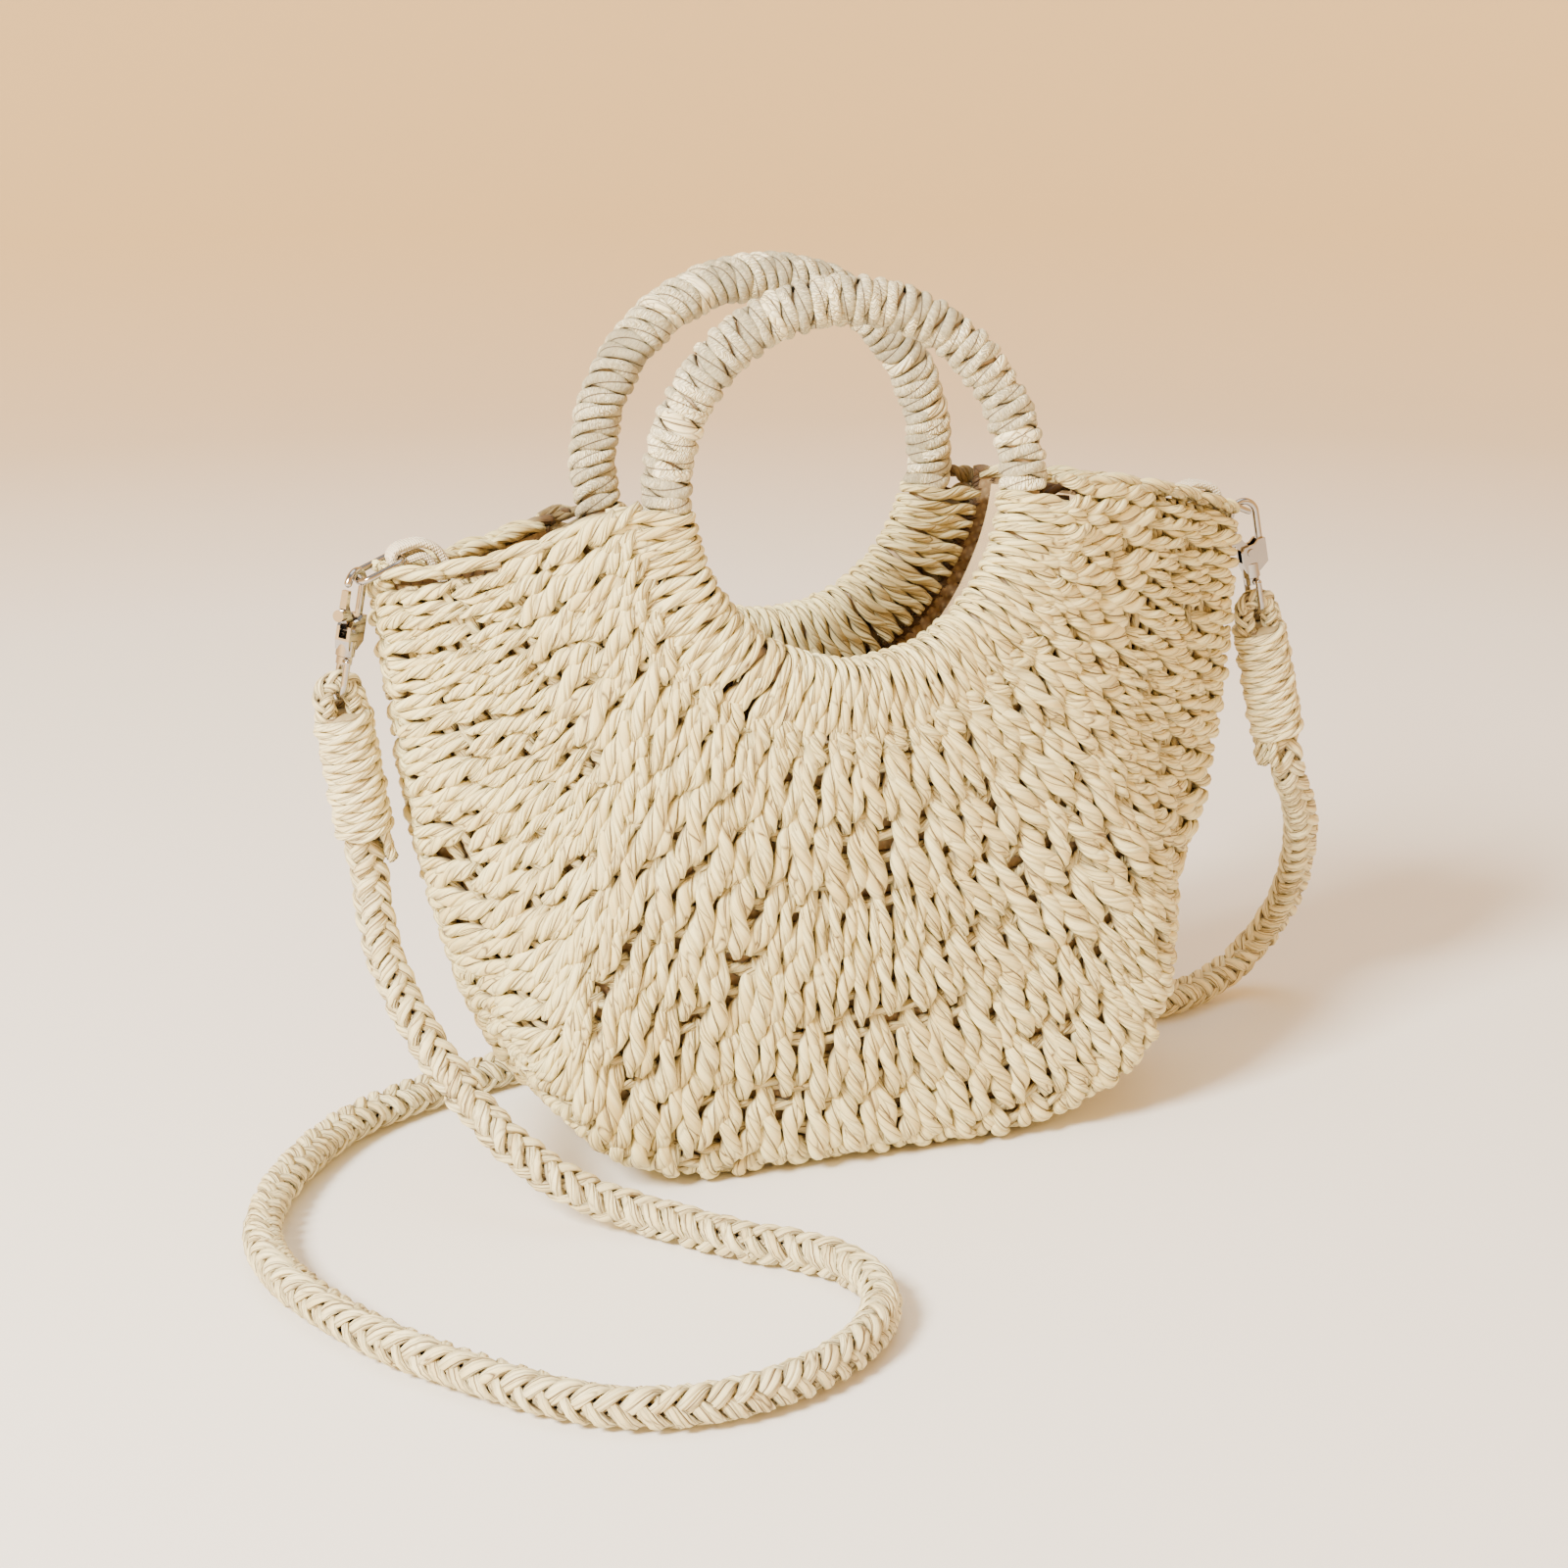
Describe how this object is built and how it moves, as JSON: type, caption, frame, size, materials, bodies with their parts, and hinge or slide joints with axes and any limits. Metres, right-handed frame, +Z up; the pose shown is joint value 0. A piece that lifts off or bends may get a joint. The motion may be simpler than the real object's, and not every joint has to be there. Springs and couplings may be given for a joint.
{
  "type": "ring-handle straw handbag",
  "caption": "Half-moon handbag of plaited paper rope with ring handles, a cotton lining and a braided shoulder strap on swivel snap hooks.",
  "frame": {"origin": "middle of the bag's width and depth, on the surface it stands on", "axes": "+Z up, +X along the width to the right seen from the front, the front faces -Y"},
  "size_m": [0.4218, 0.2901, 0.2938],
  "materials": {
    "straw_panel": "matt twisted paper rope in V-shaped stitches",
    "straw_band": "matt twisted paper rope in long wrapping stitches",
    "straw_wrap": "matt paper rope wound side by side",
    "straw_cord": "matt twisted paper cord",
    "strap_braid": "three-strand braid of paper rope",
    "strap_rope": "paper rope, wound and knotted",
    "cane_core": "plain cane",
    "cotton_lining": "plain-woven cotton",
    "ribbon": "ribbed woven ribbon",
    "nickel": "bright nickel plate",
    "spring_steel": "drawn spring wire"
  },
  "bodies": {
    "root": {"front_panel": "straw_panel", "back_panel": "straw_panel", "edge_seam": "straw_cord", "lining_bag": "cotton_lining", "lining_hem": "cotton_lining", "front_band": "straw_band", "back_band": "straw_band", "front_ring_core": "cane_core", "back_ring_core": "cane_core", "front_ring_wrap": "straw_wrap", "back_ring_wrap": "straw_wrap", "left_tab": "ribbon", "right_tab": "ribbon", "strap_cord": "strap_braid"},
    "left_link": {"left_link": "nickel"},
    "left_strap_end": {"left_swivel_eye": "nickel", "left_strap_loop": "strap_rope", "left_whipping": "strap_rope", "left_cord_tails": "strap_rope"},
    "left_hook": {"left_hook_body": "nickel", "left_trigger_pin": "nickel", "left_trigger_spring": "spring_steel"},
    "left_trigger": {"left_trigger": "nickel"},
    "right_link": {"right_link": "nickel"},
    "right_strap_end": {"right_swivel_eye": "nickel", "right_strap_loop": "strap_rope", "right_whipping": "strap_rope", "right_cord_tails": "strap_rope"},
    "right_hook": {"right_hook_body": "nickel", "right_trigger_pin": "nickel", "right_trigger_spring": "spring_steel"},
    "right_trigger": {"right_trigger": "nickel"}
  },
  "joints": [
    {"name": "left_link_hinge", "type": "hinge", "parent": "root", "child": "left_link", "pos_m": [-0.142, 0, 0.208], "axis": [0, 1, 0], "range_deg": [0, 90], "deforming": ["strap_cord"]},
    {"name": "left_hook_hang", "type": "hinge", "parent": "left_link", "child": "left_strap_end", "pos_m": [-0.156, 0, 0.202], "axis": [0, 1, 0], "range_deg": [-3, 75], "deforming": ["strap_cord"]},
    {"name": "left_swivel", "type": "hinge", "parent": "left_strap_end", "child": "left_hook", "pos_m": [-0.156, 0, 0.202], "axis": [0.1908, 0, 0.9816], "range_deg": [-90, 0]},
    {"name": "left_trigger_pivot", "type": "hinge", "parent": "left_hook", "child": "left_trigger", "pos_m": [-0.159, 0, 0.18659], "axis": [-0.7295, 0.6691, 0.1418], "range_deg": [0, 25], "stiffness_Nm_per_rad": 0.01, "deforming": ["left_trigger_spring"]},
    {"name": "right_link_hinge", "type": "hinge", "parent": "root", "child": "right_link", "pos_m": [0.142, 0, 0.208], "axis": [0, -1, 0], "range_deg": [0, 90], "deforming": ["strap_cord"]},
    {"name": "right_hook_hang", "type": "hinge", "parent": "right_link", "child": "right_strap_end", "pos_m": [0.156, 0, 0.202], "axis": [0, -1, 0], "range_deg": [-9, 75], "deforming": ["strap_cord"]},
    {"name": "right_swivel", "type": "hinge", "parent": "right_strap_end", "child": "right_hook", "pos_m": [0.156, 0, 0.202], "axis": [-0.1908, 0, 0.9816], "range_deg": [-45, 45]},
    {"name": "right_trigger_pivot", "type": "hinge", "parent": "right_hook", "child": "right_trigger", "pos_m": [0.159, 0, 0.18659], "axis": [0, 1, 0], "range_deg": [0, 25], "stiffness_Nm_per_rad": 0.01, "deforming": ["right_trigger_spring"]}
  ]
}
